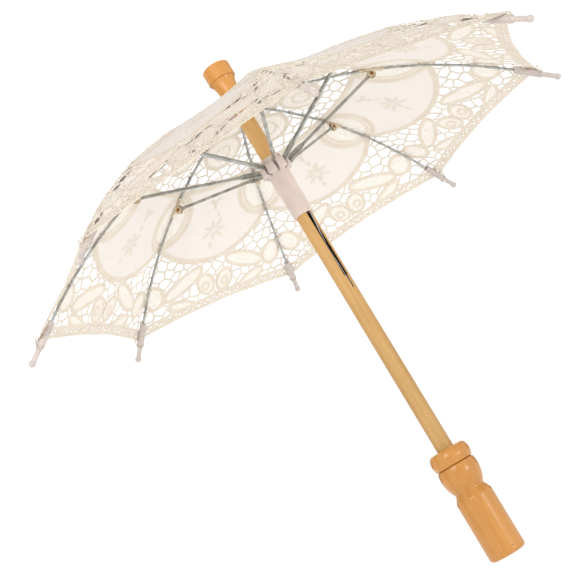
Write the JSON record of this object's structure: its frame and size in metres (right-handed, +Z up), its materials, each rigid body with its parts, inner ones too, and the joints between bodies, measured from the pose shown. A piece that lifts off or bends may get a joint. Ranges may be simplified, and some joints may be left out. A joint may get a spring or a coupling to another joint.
{
  "type": "lace parasol",
  "caption": "Small open lace parasol with turned wooden handle and finial, wire ribs, hinged stretchers and a sliding runner held up by a spring catch.",
  "frame": {"origin": "centre of the handle's flat end", "axes": "+Z up the shaft to the finial; rib 1 points along +X; the view of azimuth 0 looks along +Y"},
  "size_m": [0.4338, 0.4338, 0.4],
  "materials": {
    "pale_wood": "plain sanded light wood with straight grain",
    "varnished_wood": "warm varnished turned wood",
    "white_plastic": "slightly translucent pinkish white plastic",
    "tip_plastic": "milky white moulded plastic",
    "steel": "bright drawn wire and folded strip",
    "spring_steel": "dull spring wire",
    "brass": "pale brass, slightly dull",
    "copper": "red-brown rivet",
    "lace": "cream cotton tape lace with plain woven medallions"
  },
  "bodies": {
    "shaft": {"shaft": "pale_wood", "handle": "varnished_wood", "finial": "varnished_wood", "top_notch": "white_plastic", "notch_wire": "steel", "notch_nail": "steel", "canopy_crown": "lace"},
    "runner": {"runner": "white_plastic", "runner_wire": "steel"},
    "catch": {"catch_spring": "spring_steel"},
    "rib_1": {"rib_1": "steel", "tip_1": "tip_plastic", "bracket_1": "brass", "rivet_1": "copper", "canopy_gore_1": "lace"},
    "stretcher_1": {"stretcher_1": "steel"},
    "rib_2": {"rib_2": "steel", "tip_2": "tip_plastic", "bracket_2": "brass", "rivet_2": "copper", "canopy_gore_2": "lace"},
    "stretcher_2": {"stretcher_2": "steel"},
    "rib_3": {"rib_3": "steel", "tip_3": "tip_plastic", "bracket_3": "brass", "rivet_3": "copper", "canopy_gore_3": "lace"},
    "stretcher_3": {"stretcher_3": "steel"},
    "rib_4": {"rib_4": "steel", "tip_4": "tip_plastic", "bracket_4": "brass", "rivet_4": "copper", "canopy_gore_4": "lace"},
    "stretcher_4": {"stretcher_4": "steel"},
    "rib_5": {"rib_5": "steel", "tip_5": "tip_plastic", "bracket_5": "brass", "rivet_5": "copper", "canopy_gore_5": "lace"},
    "stretcher_5": {"stretcher_5": "steel"},
    "rib_6": {"rib_6": "steel", "tip_6": "tip_plastic", "bracket_6": "brass", "rivet_6": "copper", "canopy_gore_6": "lace"},
    "stretcher_6": {"stretcher_6": "steel"},
    "rib_7": {"rib_7": "steel", "tip_7": "tip_plastic", "bracket_7": "brass", "rivet_7": "copper", "canopy_gore_7": "lace"},
    "stretcher_7": {"stretcher_7": "steel"},
    "rib_8": {"rib_8": "steel", "tip_8": "tip_plastic", "bracket_8": "brass", "rivet_8": "copper", "canopy_gore_8": "lace"},
    "stretcher_8": {"stretcher_8": "steel"}
  },
  "joints": [
    {"name": "runner_slide", "type": "slide", "parent": "shaft", "child": "runner", "axis": [0, 0, -1], "range_m": [0, 0.1282], "deforming": ["canopy_gore_1", "canopy_gore_2", "canopy_gore_3", "canopy_gore_4", "canopy_gore_5", "canopy_gore_6", "canopy_gore_7", "canopy_gore_8", "catch_spring"]},
    {"name": "catch_press", "type": "hinge", "parent": "shaft", "child": "catch", "pos_m": [0.00239, -0.0045, 0.207], "axis": [-0.8829, -0.4695, 0], "range_deg": [0, 2.5], "stiffness_Nm_per_rad": 0.4},
    {"name": "rib_fold_1", "type": "hinge", "parent": "shaft", "child": "rib_1", "pos_m": [0.009, 0, 0.363], "axis": [0, 1, 0], "range_deg": [0, 64.33]},
    {"name": "stretcher_fold_1", "type": "hinge", "parent": "rib_1", "child": "stretcher_1", "pos_m": [0.09711, 0, 0.33874], "axis": [0, 1, 0], "range_deg": [-126.97, 0]},
    {"name": "rib_fold_2", "type": "hinge", "parent": "shaft", "child": "rib_2", "pos_m": [0.00636, 0.00636, 0.363], "axis": [-0.7071, 0.7071, 0], "range_deg": [0, 64.33]},
    {"name": "stretcher_fold_2", "type": "hinge", "parent": "rib_2", "child": "stretcher_2", "pos_m": [0.06867, 0.06867, 0.33874], "axis": [-0.7071, 0.7071, 0], "range_deg": [-126.97, 0]},
    {"name": "rib_fold_3", "type": "hinge", "parent": "shaft", "child": "rib_3", "pos_m": [0, 0.009, 0.363], "axis": [-1, 0, 0], "range_deg": [0, 64.33]},
    {"name": "stretcher_fold_3", "type": "hinge", "parent": "rib_3", "child": "stretcher_3", "pos_m": [0, 0.09711, 0.33874], "axis": [-1, 0, 0], "range_deg": [-126.97, 0]},
    {"name": "rib_fold_4", "type": "hinge", "parent": "shaft", "child": "rib_4", "pos_m": [-0.00636, 0.00636, 0.363], "axis": [-0.7071, -0.7071, 0], "range_deg": [0, 64.33]},
    {"name": "stretcher_fold_4", "type": "hinge", "parent": "rib_4", "child": "stretcher_4", "pos_m": [-0.06867, 0.06867, 0.33874], "axis": [-0.7071, -0.7071, 0], "range_deg": [-126.97, 0]},
    {"name": "rib_fold_5", "type": "hinge", "parent": "shaft", "child": "rib_5", "pos_m": [-0.009, 0, 0.363], "axis": [0, -1, 0], "range_deg": [0, 64.33]},
    {"name": "stretcher_fold_5", "type": "hinge", "parent": "rib_5", "child": "stretcher_5", "pos_m": [-0.09711, 0, 0.33874], "axis": [0, -1, 0], "range_deg": [-126.97, 0]},
    {"name": "rib_fold_6", "type": "hinge", "parent": "shaft", "child": "rib_6", "pos_m": [-0.00636, -0.00636, 0.363], "axis": [0.7071, -0.7071, 0], "range_deg": [0, 64.33]},
    {"name": "stretcher_fold_6", "type": "hinge", "parent": "rib_6", "child": "stretcher_6", "pos_m": [-0.06867, -0.06867, 0.33874], "axis": [0.7071, -0.7071, 0], "range_deg": [-126.97, 0]},
    {"name": "rib_fold_7", "type": "hinge", "parent": "shaft", "child": "rib_7", "pos_m": [0, -0.009, 0.363], "axis": [1, 0, 0], "range_deg": [0, 64.33]},
    {"name": "stretcher_fold_7", "type": "hinge", "parent": "rib_7", "child": "stretcher_7", "pos_m": [0, -0.09711, 0.33874], "axis": [1, 0, 0], "range_deg": [-126.97, 0]},
    {"name": "rib_fold_8", "type": "hinge", "parent": "shaft", "child": "rib_8", "pos_m": [0.00636, -0.00636, 0.363], "axis": [0.7071, 0.7071, 0], "range_deg": [0, 64.33]},
    {"name": "stretcher_fold_8", "type": "hinge", "parent": "rib_8", "child": "stretcher_8", "pos_m": [0.06867, -0.06867, 0.33874], "axis": [0.7071, 0.7071, 0], "range_deg": [-126.97, 0]}
  ],
  "couplings": [
    {"joint": "rib_fold_1", "follows": "runner_slide", "rad_per_m": 8.7539},
    {"joint": "stretcher_fold_1", "follows": "runner_slide", "rad_per_m": -17.277},
    {"joint": "rib_fold_2", "follows": "runner_slide", "rad_per_m": 8.7539},
    {"joint": "stretcher_fold_2", "follows": "runner_slide", "rad_per_m": -17.277},
    {"joint": "rib_fold_3", "follows": "runner_slide", "rad_per_m": 8.7539},
    {"joint": "stretcher_fold_3", "follows": "runner_slide", "rad_per_m": -17.277},
    {"joint": "rib_fold_4", "follows": "runner_slide", "rad_per_m": 8.7539},
    {"joint": "stretcher_fold_4", "follows": "runner_slide", "rad_per_m": -17.277},
    {"joint": "rib_fold_5", "follows": "runner_slide", "rad_per_m": 8.7539},
    {"joint": "stretcher_fold_5", "follows": "runner_slide", "rad_per_m": -17.277},
    {"joint": "rib_fold_6", "follows": "runner_slide", "rad_per_m": 8.7539},
    {"joint": "stretcher_fold_6", "follows": "runner_slide", "rad_per_m": -17.277},
    {"joint": "rib_fold_7", "follows": "runner_slide", "rad_per_m": 8.7539},
    {"joint": "stretcher_fold_7", "follows": "runner_slide", "rad_per_m": -17.277},
    {"joint": "rib_fold_8", "follows": "runner_slide", "rad_per_m": 8.7539},
    {"joint": "stretcher_fold_8", "follows": "runner_slide", "rad_per_m": -17.277}
  ]
}
